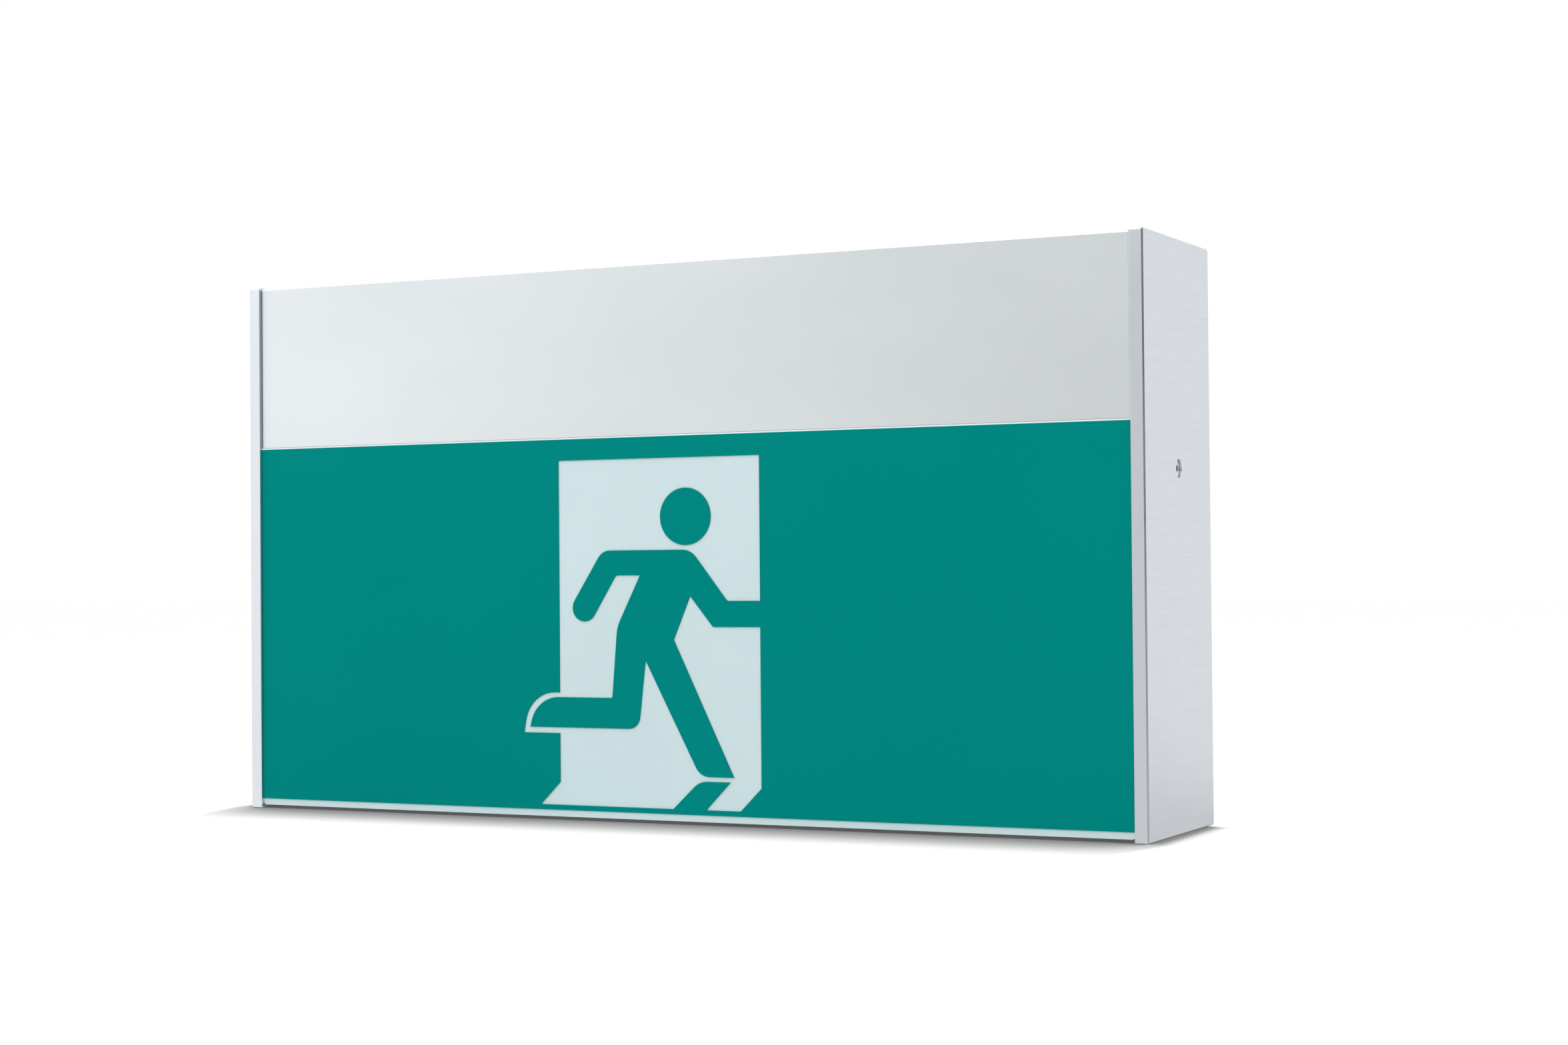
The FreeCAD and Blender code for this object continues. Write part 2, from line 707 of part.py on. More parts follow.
def earth_place():
    centre = block_centre()
    return V(centre.x + POLES * POLE_PITCH / 2 + EARTH_FROM_BLOCK, centre.y, z_shelf + TRAY_T)


def earth_screw():
    return hex_screw(earth_place(), V(0, 0, -1), TRAY_T, SCREW_D, HEX_AF)


def cable_grommet():
    """Rubber ring in the back wall: a thin flange outside, a groove for the wall, a fat one inside."""
    groove, outer, inside = GROMMET_HOLE_D / 2, GROMMET_FLANGE_D / 2, WALL + GROMMET_INNER_T
    stations = [
        (-PROUD_FACE, outer), (0.0, outer), (0.0, groove), (WALL, groove), (WALL, outer), (inside, groove),
    ]
    entry = entry_centre()
    ring = turned(stations, entry, V(0, -1, 0))
    bore = rod(GROMMET_BORE_D, entry + V(0, 2 * PROUD_FACE, 0), entry - V(0, 2 * inside, 0))
    return ring.cut(bore)


# ---- gear space behind the web ----

def battery_pack():
    """Stick of cells in one shrunk sleeve, drawn in a little where two cells meet."""
    radius, waist = CELL_D / 2, CELL_D / 2 - CELL_GROOVE
    stations = []
    for k in range(CELLS):
        x = k * CELL_L
        stations += [(x, waist), (x + 1.5, radius), (x + CELL_L - 1.5, radius)]
    stations.append((CELLS * CELL_L, waist))
    return turned(stations, battery_start(), V(1, 0, 0))


def battery_clips():
    """Open rings on a screwed foot that the stick is pressed into."""
    clips = []
    for middle in clip_places():
        x0, x1 = middle.x - CLIP_W / 2, middle.x + CLIP_W / 2
        inner, outer = CELL_D / 2, CELL_D / 2 + CLIP_T
        ring = rod(2 * outer, V(x0, middle.y, middle.z), V(x1, middle.y, middle.z))
        foot = box(x0, x1, middle.y - outer * 0.6, middle.y + outer * 0.6, z_floor, middle.z)
        clip = fused([ring, foot])
        spread = math.tan(math.radians(CLIP_MOUTH / 2)) * 2 * outer
        above = middle.z + 2 * outer
        mouth = [(middle.y, middle.z), (middle.y + spread, above), (middle.y - spread, above)]
        cuts = [
            rod(2 * inner, V(x0, middle.y, middle.z), V(x1, middle.y, middle.z)), along_x(mouth, x0, x1),
            rod(SCREW_D, V(middle.x, middle.y, z_floor), V(middle.x, middle.y, middle.z)),
        ]
        clips.append(clip.cut(cuts))
    return Part.makeCompound(clips)


def base_screws():
    screws = [countersunk_screw(place, V(0, 0, 1), BASE_SCREW_L) for place in base_screw_places()]
    return Part.makeCompound(screws)


def peg_places():
    """Pegs on the holder's two end walls, which the board is pushed onto."""
    x0, x1 = holder_ends()
    return [V(x, y_rear_mid, z_board) for x in (x0 + HOLDER_WALL / 2, x1 - HOLDER_WALL / 2)]


def switch_holder():
    """Moulded bridge on the floor: foot plate, screw bosses, two end walls and pegs for the board."""
    x0, x1 = holder_ends()
    y0, y1 = y_rear_mid - HOLDER_W / 2, y_rear_mid + HOLDER_W / 2
    xa, xb, plate = x0 + HOLDER_WALL, x1 - HOLDER_WALL, z_floor + HOLDER_T
    section = [
        (x0, z_floor), (x1, z_floor), (x1, z_board), (xb, z_board), (xb, plate), (xa, plate), (xa, z_board),
        (x0, z_board),
    ]
    holder = along_y(section, y0, y1)
    screws = base_screw_places()[-2:]
    bosses = [
        rod(HOLDER_BOSS_D, V(place.x, place.y, plate), V(place.x, place.y, plate + HOLDER_BOSS_H))
        for place in screws
    ]
    pegs = [rod(PEG_D, place, place + V(0, 0, BOARD_T)) for place in peg_places()]
    holder = fused([holder] + bosses + pegs)
    button, lens = button_centre(), lens_centre()
    cuts = [
        rod(BUTTON_FLANGE_D + 1.0, button, button + V(0, 0, z_board)),
        rod(LENS_D + FIT, lens, lens + V(0, 0, z_board)),
    ]
    cuts += [rod(SCREW_D, place, place + V(0, 0, BASE_SCREW_L)) for place in screws]
    return holder.cut(cuts)


def test_board():
    x0, x1 = holder_ends()
    half = HOLDER_W / 2 - BOARD_MARGIN
    board = box(x0, x1, y_rear_mid - half, y_rear_mid + half, z_board, z_board + BOARD_T)
    return board.cut([rod(PEG_D + FIT, place, place + V(0, 0, BOARD_T)) for place in peg_places()])


def test_switch():
    """Momentary switch under the board; its spring is inside, over the blind way of the stem."""
    centre = button_centre()
    half, z0 = SWITCH_SIZE / 2, z_board - SWITCH_H
    body = box(centre.x - half, centre.x + half, centre.y - half, centre.y + half, z0, z_board)
    depth = STEM_IN_SWITCH + BUTTON_TRAVEL + STEM_WAY
    return body.cut(rod(STEM_D + 2 * BUTTON_GAP, centre + V(0, 0, z0), centre + V(0, 0, z0 + depth)))


def test_button():
    """Push button: a round key through the floor, a flange that stops it, a stem into the switch."""
    stem_end = z_board - SWITCH_H + STEM_IN_SWITCH
    key, z0 = BUTTON_D / 2, z_base - BUTTON_PROUD
    stations = [
        (z0, key - 0.5), (z0 + 0.5, key), (z_floor, key), (z_floor, BUTTON_FLANGE_D / 2),
        (z_floor + BUTTON_FLANGE_T, BUTTON_FLANGE_D / 2), (z_floor + BUTTON_FLANGE_T, STEM_D / 2),
        (stem_end, STEM_D / 2),
    ]
    return turned(stations, button_centre(), V(0, 0, 1))


def status_led():
    """Charge lamp under the board, over the light pipe."""
    radius, rim = LENS_D / 2, LAMP_H * 0.6
    stations = [(0.0, radius), (rim, radius), (rim, radius + LAMP_RIM), (LAMP_H, radius + LAMP_RIM)]
    return turned(stations, lens_centre() + V(0, 0, z_board - LAMP_H), V(0, 0, 1))


def status_lens():
    """Light pipe in the floor, with a domed end outside."""
    radius, top = LENS_D / 2, z_board - LAMP_H - FIT
    stations = [(z_base - LENS_PROUD, radius * 0.6), (z_base, radius), (top, radius)]
    return turned(stations, lens_centre(), V(0, 0, 1))


PARTS = {
    "housing_profile": housing_profile(),
    "front_cover": front_cover(),
    "end_cap_left": end_cap(-1),
    "end_cap_right": end_cap(1),
    "end_cap_screws": end_cap_screws(),
    "diffuser": diffuser(),
    "legend_film": legend_film(),
    "reflector": reflector(),
    "led_board": led_board(),
    "led_chips": led_chips(),
    "led_board_screws": led_board_screws(),
    "gear_tray": gear_tray(),
    "tray_screws": tray_screws(),
    "control_gear": control_gear(),
    "gear_screws": gear_screws(),
    "terminal_block": terminal_block(),
    "terminal_screws": terminal_screws(),
    "earth_screw": earth_screw(),
    "cable_grommet": cable_grommet(),
    "battery_pack": battery_pack(),
    "battery_clips": battery_clips(),
    "base_screws": base_screws(),
    "switch_holder": switch_holder(),
    "test_board": test_board(),
    "test_switch": test_switch(),
    "test_button": test_button(),
    "status_led": status_led(),
    "status_lens": status_lens(),
}

os.makedirs("parts", exist_ok=True)
for name, shape in PARTS.items():
    shape.exportStep(f"parts/{name}.step")
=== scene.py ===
"""Looks of the self-contained emergency exit light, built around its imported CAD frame. Lengths are in metres,
except those of the pieces made here, which are in millimetres until skin() scales them."""
import math

import bmesh
import bpy
import numpy as np
from mathutils import Matrix, Vector


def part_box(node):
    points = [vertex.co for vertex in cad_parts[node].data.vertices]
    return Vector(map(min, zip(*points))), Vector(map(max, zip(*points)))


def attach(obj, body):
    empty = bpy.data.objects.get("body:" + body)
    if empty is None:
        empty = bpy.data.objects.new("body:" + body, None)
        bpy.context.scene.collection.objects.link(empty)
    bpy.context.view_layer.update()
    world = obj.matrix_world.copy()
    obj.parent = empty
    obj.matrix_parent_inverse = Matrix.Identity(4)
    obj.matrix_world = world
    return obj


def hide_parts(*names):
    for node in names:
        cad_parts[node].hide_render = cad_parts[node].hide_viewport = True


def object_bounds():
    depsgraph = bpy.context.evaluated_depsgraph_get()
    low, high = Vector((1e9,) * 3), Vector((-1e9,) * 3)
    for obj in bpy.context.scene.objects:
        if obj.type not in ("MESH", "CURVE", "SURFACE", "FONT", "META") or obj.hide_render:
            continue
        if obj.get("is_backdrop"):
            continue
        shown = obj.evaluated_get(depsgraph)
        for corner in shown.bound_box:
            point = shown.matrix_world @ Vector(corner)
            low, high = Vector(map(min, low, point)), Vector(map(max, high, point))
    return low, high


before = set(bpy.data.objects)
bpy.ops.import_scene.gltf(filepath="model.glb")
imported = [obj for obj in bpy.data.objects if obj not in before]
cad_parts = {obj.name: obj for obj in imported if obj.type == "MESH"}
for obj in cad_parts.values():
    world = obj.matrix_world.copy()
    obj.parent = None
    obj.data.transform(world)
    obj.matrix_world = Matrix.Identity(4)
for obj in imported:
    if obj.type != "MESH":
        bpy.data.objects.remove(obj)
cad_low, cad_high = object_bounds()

MM = 0.001

# Camera
LENS_MM = 59.83
SENSOR_MM = 36.0
VIEW_AZIMUTH = 26.61
VIEW_ELEVATION = -1.04
VIEW_ROLL = -0.475
VIEW_DISTANCE = 912.3 * MM
VIEW_TARGET = (31.13 * MM, 0.0, 103.56 * MM)

# End caps, in millimetres: plate, bevels, and the hole with a straight mouth above its cone
CAP_T = 4.7
CAP_CORNER_R = 0.8
CAP_BEVEL = 0.5
CAP_INNER_BEVEL = 0.15
HOLE_R = 1.7
SINK_R = 3.1
SINK_STEP = 0.8
SINK_NECK_R = 3.0
# Row of the plate's grid that is the outer bevel, which takes the darker bevel material, whose colour is painted shade
BEVEL_ROW = 4
# Locating rims inside each cap: low and high Y, low and high Z, then wall, corner and how deep they stand in the plate
RIMS = ((-21.7, 31.1, 136.0, 191.6), (1.1, 31.1, 3.1, 133.8))
RIM_T = 1.6
RIM_R = 0.4
RIM_FOOT = 0.5
# Points along each corner's arc, and degrees between the points of a side
CORNER_POINTS = 7
SIDE_STEP = 6.0

# End cap screws, in millimetres
CAP_SCREW_Z = 118.9
CAP_SCREW_LENGTH = 16.0
HEAD_R = 2.65
HEAD_SUNK = 0.5
HEAD_EASE = 0.25
SHANK_R = 1.5
SOCKET_AF = 2.0
SOCKET_DEPTH = 1.0

# Test key, light pipe and grommet, in millimetres
KEY_R = 3.4
KEY_LIP = 0.5
KEY_EASE = 0.3
DISH_DEPTH = 0.35
DISH_POINTS = 9
FLANGE_Z = 2.8
FLANGE_T = 1.0
FLANGE_R = 4.5
STEM_R = 1.6
LENS_R = 1.5
LENS_PROUD = 0.5
DOME_POINTS = 10
GROMMET_PROUD = 1.0
GROMMET_BORE_R = 4.0
GROMMET_LIP_R = 10.0
GROMMET_GROOVE_R = 8.0
GROMMET_INSIDE = 4.1
GROMMET_EASE = 0.4
WALL_T = 1.6

# Surfaces: points nearer than this become one, edges that turn by more than this many degrees stay sharp, steps of
# a turned piece, points of an eased corner, and the most of a side that an eased corner takes up
MERGE = 0.0001 * MM
SHARP_ANGLE = 32.0
TURN_STEPS = 48
GROMMET_STEPS = 64
EASE_POINTS = 5
EASE_SHARE = 0.45

# Film: width of the pale strip along its upper edge, a painted highlight standing in for the light caught by the
# cover's lower edge above it
PAINTED_HIGHLIGHT_EDGE = 0.5 * MM

# Noise: the part of its range that a pattern uses
NOISE_LOW = 0.3
NOISE_HIGH = 0.7

# Room as metal shows it: the way to its lit side, where along that it turns from dim to lit, and how dim it gets
ROOM_LEAN = (-0.76, 0.57, 0.31)
DIM_EDGE = -0.62
LIT_EDGE = 0.18
ROOM_DIM = 0.28
FLOOR_DIM = 0.7

# Light: even fill, and the softboxes as name, azimuth, elevation, distance, size and radiance
ROOM_FILL = 0.65
SOFTBOXES = (
    ("key_left", -60, 18, 1.7, (1.5, 1.5), 0.36),
    ("front_high", -5, 62, 1.5, (1.8, 1.1), 1.5),
    ("top", 0, 88, 1.6, (1.8, 1.6), 0.3),
)
SOFTBOX_AIM = (0.0, 0.0, 0.1)

# Floor: size, its paint as light meets it, and how it is seen, as its own glow and a dull part that takes shadows
FLOOR_RADIUS = 6.0
FLOOR_PAINT = 0.87
FLOOR_GLOW = 0.95
FLOOR_DULL = 0.07

# Contact shadow: reach, fall, darkest glow, how far it runs on past the ends, and how much shorter it gets with the
# distance in front of the part and behind the given depth
CONTACT_REACH = 40 * MM
CONTACT_POWER = 3.0
CONTACT_SHADE = 0.09
CONTACT_SAMPLES = 8
CONTACT_END = 9 * MM
CONTACT_TAPER = 0.25
CONTACT_REAR_TAPER = 1.5
CONTACT_REAR = 26 * MM
# In metal the shadow is only there where the floor is this closed in
METAL_DARK_AO = 0.1
METAL_CLEAR_AO = 0.4


def linear(code):
    """Linear RGBA of an sRGB hex colour."""
    parts = [int(code[i:i + 2], 16) / 255 for i in (1, 3, 5)]
    return tuple(p / 12.92 if p <= 0.04045 else ((p + 0.055) / 1.055) ** 2.4 for p in parts) + (1.0,)


def add(tree, kind, settings=None, values=None, links=None):
    """Adds one node: settings are its properties, values its socket numbers, links the outputs it reads."""
    node = tree.nodes.new(kind)
    for name, value in (settings or {}).items():
        setattr(node, name, value)
    for socket, value in (values or {}).items():
        node.inputs[socket].default_value = value
    for socket, output in (links or {}).items():
        tree.links.new(output, node.inputs[socket])
    return node


def ramp(tree, factor, stops):
    """Colour ramp over grey values or colours at the given places."""
    node = add(tree, "ShaderNodeValToRGB", links={"Fac": factor})
    elements = node.color_ramp.elements
    while len(elements) < len(stops):
        elements.new(1.0)
    for element, (place, value) in zip(elements, stops):
        element.position = place
        element.color = value if isinstance(value, tuple) else (value, value, value, 1.0)
    return node.outputs["Color"]


def surface(name, shader, build):
    """Material with a Principled shader: shader holds its constant sockets, build links the patterns."""
    material = bpy.data.materials.new(name)
    material.use_nodes = True
    tree = material.node_tree
    tree.nodes.clear()
    principled = add(tree, "ShaderNodeBsdfPrincipled", values=shader)
    add(tree, "ShaderNodeOutputMaterial", links={"Surface": principled.outputs["BSDF"]})
    place = add(tree, "ShaderNodeTexCoord").outputs["Object"]
    for socket, output in build(tree, place).items():
        tree.links.new(output, principled.inputs[socket])
    return material


def stretched_noise(tree, place, grain, detail=3.0):
    """Noise whose grain is the given size in metres along X, Y and Z."""
    scale = tuple(1.0 / g for g in grain)
    mapping = add(tree, "ShaderNodeMapping", values={"Scale": scale}, links={"Vector": place})
    noise = add(tree, "ShaderNodeTexNoise", values={"Scale": 1.0, "Detail": detail},
                links={"Vector": mapping.outputs["Vector"]})
    return noise.outputs["Fac"]


def shade(tree, factor, low, high):
    """Factor between two colours, from the middle half of a noise."""
    return ramp(tree, factor, [(NOISE_LOW, linear(low)), (NOISE_HIGH, linear(high))])


def between(tree, factor, low, high):
    """Factor as a number between two values, from the middle half of a noise."""
    node = add(tree, "ShaderNodeMapRange", links={"Value": factor},
               values={"From Min": NOISE_LOW, "From Max": NOISE_HIGH, "To Min": low, "To Max": high})
    return node.outputs["Result"]


def bumped(tree, height, depth):
    """Normal of a height pattern that is depth metres deep."""
    node = add(tree, "ShaderNodeBump", values={"Strength": 1.0, "Distance": depth}, links={"Height": height})
    return node.outputs["Normal"]


# ---- materials ----

def anodised_extrusion():
    """Satin anodised aluminium extrusion: matt silver with faint die lines along its length."""
    def build(tree, place):
        lines = stretched_noise(tree, place, (120 * MM, 0.9 * MM, 0.9 * MM))
        cloud = stretched_noise(tree, place, (60 * MM, 40 * MM, 40 * MM), 2.0)
        return {
            "Base Color": shade(tree, cloud, "#E1E6EA", "#E7EBEF"),
            "Roughness": between(tree, lines, 0.40, 0.46),
            "Normal": bumped(tree, lines, 0.004 * MM),
        }
    return surface("anodised_aluminium_extrusion", {"Metallic": 1.0}, build)


def anodised_cover():
    """Satin anodised aluminium sheet: etched matt before anodising, so its front shows no lines, only a fine grit."""
    def build(tree, place):
        grit = stretched_noise(tree, place, (0.7 * MM, 0.7 * MM, 0.7 * MM))
        cloud = stretched_noise(tree, place, (90 * MM, 40 * MM, 40 * MM), 2.0)
        return {
            "Base Color": shade(tree, cloud, "#E4E9EC", "#E9EEF1"),
            "Roughness": between(tree, grit, 0.42, 0.50),
            "Normal": bumped(tree, grit, 0.0015 * MM),
        }
    return surface("anodised_aluminium_matt", {"Metallic": 1.0}, build)


def brushed_cap():
    """Anodised aluminium plate, brushed level before anodising: faint horizontal strokes along its depth."""
    def build(tree, place):
        strokes = stretched_noise(tree, place, (0.8 * MM, 38 * MM, 0.8 * MM), 4.0)
        fine = stretched_noise(tree, place, (0.5 * MM, 12 * MM, 0.35 * MM), 2.0)
        return {
            "Base Color": shade(tree, strokes, "#E2E7EC", "#E6EBF0"),
            "Roughness": between(tree, fine, 0.36, 0.42),
            "Normal": bumped(tree, strokes, 0.0025 * MM),
        }
    return surface("anodised_aluminium_brushed", {"Metallic": 1.0, "Anisotropic": 0.3}, build)


def painted_shade_bevel():
    """Anodised aluminium cut at a bevel: smoother than the brushed plate. Its colour is a shade darker as painted
    shade, standing in for the dark reflection along the corner, and uneven over a few millimetres where the cutter
    pressed more or less."""
    def build(tree, place):
        chatter = stretched_noise(tree, place, (6 * MM, 6 * MM, 6 * MM), 2.0)
        return {
            "Base Color": shade(tree, chatter, "#B9BEC4", "#C2C7CC"),
            "Roughness": between(tree, chatter, 0.20, 0.26),
        }
    return surface("anodised_aluminium_bevel_painted_shade", {"Metallic": 1.0}, build)


def zinc_steel():
    """Zinc-plated steel: bright, slightly blue, with a fine turned grain."""
    def build(tree, place):
        grain = stretched_noise(tree, place, (0.3 * MM, 0.3 * MM, 0.3 * MM))
        return {
            "Base Color": shade(tree, grain, "#C9CDD1", "#DDE0E2"),
            "Roughness": between(tree, grain, 0.24, 0.34),
        }
    return surface("steel_zinc_plated", {"Metallic": 1.0}, build)


def opal_acrylic():
    """Opal acrylic sheet: milky, faintly blue-green, with a satin face."""
    def build(tree, place):
        cloud = stretched_noise(tree, place, (50 * MM, 50 * MM, 50 * MM), 2.0)
        return {
            "Base Color": shade(tree, cloud, "#D2E6E9", "#D6E9EC"),
            "Roughness": between(tree, cloud, 0.36, 0.42),
        }
    return surface("acrylic_opal", {"IOR": 1.49}, build)


def legend_vinyl():
    """Translucent signal-green vinyl film: even colour, satin face with a very slight orange peel. A pale strip along
    its upper edge is a painted highlight, standing in for the light caught by the cover's lower edge above it."""
    def build(tree, place):
        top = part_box("legend_film")[1][2] - PAINTED_HIGHLIGHT_EDGE
        height = add(tree, "ShaderNodeSeparateXYZ", links={0: place}).outputs["Z"]
        painted_highlight = add(tree, "ShaderNodeMath", {"operation": "GREATER_THAN"}, {1: top}, {0: height})
        peel = stretched_noise(tree, place, (3.0 * MM, 3.0 * MM, 3.0 * MM), 2.0)
        cloud = stretched_noise(tree, place, (90 * MM, 60 * MM, 60 * MM), 2.0)
        # The pale colour above the top line is the painted highlight along the film's upper edge
        print_or_painted_highlight = add(tree, "ShaderNodeMix", {"data_type": "RGBA"}, {7: linear("#F0FAFA")},
                            {0: painted_highlight.outputs[0], 6: shade(tree, cloud, "#008983", "#018B85")})
        return {
            "Base Color": print_or_painted_highlight.outputs[2],
            "Roughness": between(tree, peel, 0.40, 0.46),
            "Normal": bumped(tree, peel, 0.002 * MM),
        }
    return surface("vinyl_signal_green", {"IOR": 1.50, "Specular IOR Level": 0.01}, build)


def moulded_plastic(name, dark, light, roughness):
    """Moulded ABS: spark-eroded grain of about half a millimetre."""
    def build(tree, place):
        grain = stretched_noise(tree, place, (0.5 * MM, 0.5 * MM, 0.5 * MM))
        return {
            "Base Color": shade(tree, grain, dark, light),
            "Roughness": between(tree, grain, roughness - 0.04, roughness + 0.04),
            "Normal": bumped(tree, grain, 0.006 * MM),
        }
    return surface(name, {"IOR": 1.53}, build)


def moulded_rubber():
    """EPDM rubber: black, dull, with a faint bloom."""
    def build(tree, place):
        bloom = stretched_noise(tree, place, (4 * MM, 4 * MM, 4 * MM))
        return {
            "Base Color": shade(tree, bloom, "#1B1B1C", "#2A2A2B"),
            "Roughness": between(tree, bloom, 0.62, 0.74),
        }
    return surface("rubber_black", {"IOR": 1.5}, build)


def clear_tinted():
    """Polycarbonate light pipe, tinted green and polished."""
    def build(tree, place):
        cloud = stretched_noise(tree, place, (1 * MM, 1 * MM, 1 * MM))
        return {
            "Base Color": shade(tree, cloud, "#4FB46A", "#63C27C"),
            "Roughness": between(tree, cloud, 0.05, 0.1),
        }
    return surface("polycarbonate_green", {"IOR": 1.58, "Transmission Weight": 0.4}, build)


def painted_white():
    """Powder-coated steel: matt white with a fine orange peel."""
    def build(tree, place):
        peel = stretched_noise(tree, place, (1.2 * MM, 1.2 * MM, 1.2 * MM), 2.0)
        return {
            "Base Color": shade(tree, peel, "#ECECEA", "#F1F1EF"),
            "Roughness": between(tree, peel, 0.5, 0.6),
            "Normal": bumped(tree, peel, 0.01 * MM),
        }
    return surface("steel_powder_coated_white", {"IOR": 1.5}, build)


def galvanised():
    """Galvanised steel sheet: grey zinc with spangles a few millimetres across."""
    def build(tree, place):
        spangle = add(tree, "ShaderNodeTexVoronoi", values={"Scale": 1 / (5 * MM)}, links={"Vector": place})
        return {
            "Base Color": shade(tree, spangle.outputs["Distance"], "#A9ADB0", "#C3C6C8"),
            "Roughness": between(tree, spangle.outputs["Distance"], 0.35, 0.5),
        }
    return surface("steel_galvanised", {"Metallic": 1.0}, build)


def circuit_board(name, dark, light):
    """Glass-epoxy board under solder mask: smooth, with the weave just showing."""
    def build(tree, place):
        weave = stretched_noise(tree, place, (0.6 * MM, 0.6 * MM, 0.6 * MM), 1.0)
        return {
            "Base Color": shade(tree, weave, dark, light),
            "Roughness": between(tree, weave, 0.28, 0.36),
        }
    return surface(name, {"IOR": 1.5}, build)


def turned_brass():
    """Nickel-free turned brass: warm, with fine turning marks."""
    def build(tree, place):
        marks = stretched_noise(tree, place, (2 * MM, 2 * MM, 0.2 * MM))
        return {
            "Base Color": shade(tree, marks, "#C9A560", "#DDBD7C"),
            "Roughness": between(tree, marks, 0.25, 0.38),
        }
    return surface("brass_turned", {"Metallic": 1.0}, build)


# The bevel material's darker colour is painted shade for the dark reflection along the caps' corners
extrusion, matt, brushed, shaded_bevel = anodised_extrusion(), anodised_cover(), brushed_cap(), painted_shade_bevel()
steel, opal, green, rubber = zinc_steel(), opal_acrylic(), legend_vinyl(), moulded_rubber()
white_steel, zinc_sheet, brass, light_pipe = painted_white(), galvanised(), turned_brass(), clear_tinted()
grey_abs = moulded_plastic("abs_light_grey", "#C6C8CA", "#CDCFD1", 0.45)
white_abs = moulded_plastic("abs_white", "#DFDFDB", "#E6E6E2", 0.45)
black_abs = moulded_plastic("abs_black", "#1D1D1E", "#262627", 0.45)
sleeve = moulded_plastic("pvc_sleeve_blue", "#1F4E86", "#2A5C97", 0.3)
phosphor = moulded_plastic("phosphor_yellow", "#DFC04A", "#E8CC5C", 0.5)
white_board = circuit_board("circuit_board_white", "#E4E6E2", "#EAECE8")
green_board = circuit_board("circuit_board_green", "#165C33", "#1C6A3C")

FINISHES = {
    "housing_profile": extrusion, "front_cover": matt, "end_cap_left": brushed, "end_cap_right": brushed,
    "end_cap_screws": steel, "diffuser": opal, "legend_film": green, "reflector": white_steel,
    "led_board": white_board, "led_chips": phosphor, "led_board_screws": steel, "gear_tray": zinc_sheet,
    "tray_screws": steel, "control_gear": white_abs, "gear_screws": steel, "terminal_block": white_abs,
    "terminal_screws": brass, "earth_screw": brass, "cable_grommet": rubber, "battery_pack": sleeve,
    "battery_clips": white_abs, "base_screws": steel, "switch_holder": white_abs, "test_board": green_board,
    "test_switch": black_abs, "test_button": grey_abs, "status_led": light_pipe, "status_lens": light_pipe,
}
for node_name, material in FINISHES.items():
    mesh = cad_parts[node_name].data
    mesh.materials.clear()
    mesh.materials.append(material)


# ---- pieces that the frame holds in plain form ----

def in_mm(node):
    """Lowest and highest corners of a CAD node, in millimetres."""
    return [np.array(corner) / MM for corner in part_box(node)]


def skin(name, grids, material, body, nodes, trim=None, trim_row=None):
    """Piece of closed surfaces that stands for CAD nodes and rides a body. Each grid of points goes round in its
    second direction, and in its first one too if wrapped, and its neighbours span the faces. Points that coincide,
    as at a pole, become one. One row of the first grid may be finished with the trim material."""
    points, faces, trimmed, first = [], [], [], 0
    for grid, wrapped in grids:
        rows, around = grid.shape[:2]
        i, j = np.meshgrid(np.arange(rows if wrapped else rows - 1), np.arange(around), indexing="ij")
        ahead, beside = (i + 1) % rows, (j + 1) % around
        quads = np.stack([i * around + j, i * around + beside, ahead * around + beside, ahead * around + j], -1)
        faces.append(quads.reshape(-1, 4) + first)
        trimmed.append(((i == trim_row) & (first == 0)).ravel() if trim else np.zeros(i.size, bool))
        points.append(grid.reshape(-1, 3))
        first += rows * around
    mesh = bpy.data.meshes.new(name)
    mesh.from_pydata((np.concatenate(points) * MM).tolist(), [], np.concatenate(faces).tolist())
    mesh.polygons.foreach_set("material_index", np.concatenate(trimmed).astype(np.int32))
    shape = bmesh.new()
    shape.from_mesh(mesh)
    bmesh.ops.remove_doubles(shape, verts=shape.verts, dist=MERGE)
    bmesh.ops.recalc_face_normals(shape, faces=shape.faces)
    shape.to_mesh(mesh)
    shape.free()
    mesh.shade_smooth()
    mesh.set_sharp_from_angle(angle=math.radians(SHARP_ANGLE))
    mesh.materials.append(material)
    if trim:
        mesh.materials.append(trim)
    obj = bpy.data.objects.new(name, mesh)
    bpy.context.collection.objects.link(obj)
    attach(obj, body)
    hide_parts(*nodes)


def eased(corners, run, closed=False):
    """Profile whose corners are parabola arcs between the points that lie a run before and after each corner.
    The ends of an open profile stay as they are."""
    p = np.array(corners, float)
    before, after = np.roll(p, 1, 0) - p, np.roll(p, -1, 0) - p
    reach = [np.linalg.norm(side, axis=1, keepdims=True) for side in (before, after)]
    run = np.minimum(run, EASE_SHARE * np.minimum(*reach))
    if not closed:
        run[0] = run[-1] = 0.0
    start, end = p + before / reach[0] * run, p + after / reach[1] * run
    t = np.linspace(0.0, 1.0, EASE_POINTS)[:, None, None]
    arcs = (1 - t) ** 2 * start + 2 * t * (1 - t) * p + t ** 2 * end
    return arcs.transpose(1, 0, 2).reshape(-1, 2)


def turned(profile, foot, axis, steps=TURN_STEPS, hexagons=()):
    """Grid of a profile of (distance, radius) points turned about an axis through its foot: a point is the foot plus
    the distance along the axis plus the radius times the cosine and sine of the turn. The rows named in hexagons are
    six-sided: their radius is the half width over the cosine of the angle from the nearest flat's middle."""
    along, radius = np.array(profile, float).T
    turn = np.arange(steps) * 2 * np.pi / steps
    radius = np.repeat(radius[:, None], steps, 1)
    for row in hexagons:
        radius[row] /= np.cos((turn + np.pi / 6) % (np.pi / 3) - np.pi / 6)
    axis = np.array(axis, float)
    u = np.roll(np.abs(axis), 1)
    v = np.cross(axis, u)
    around = np.cos(turn)[:, None] * u + np.sin(turn)[:, None] * v
    return np.array(foot) + along[:, None, None] * axis + radius[:, :, None] * around


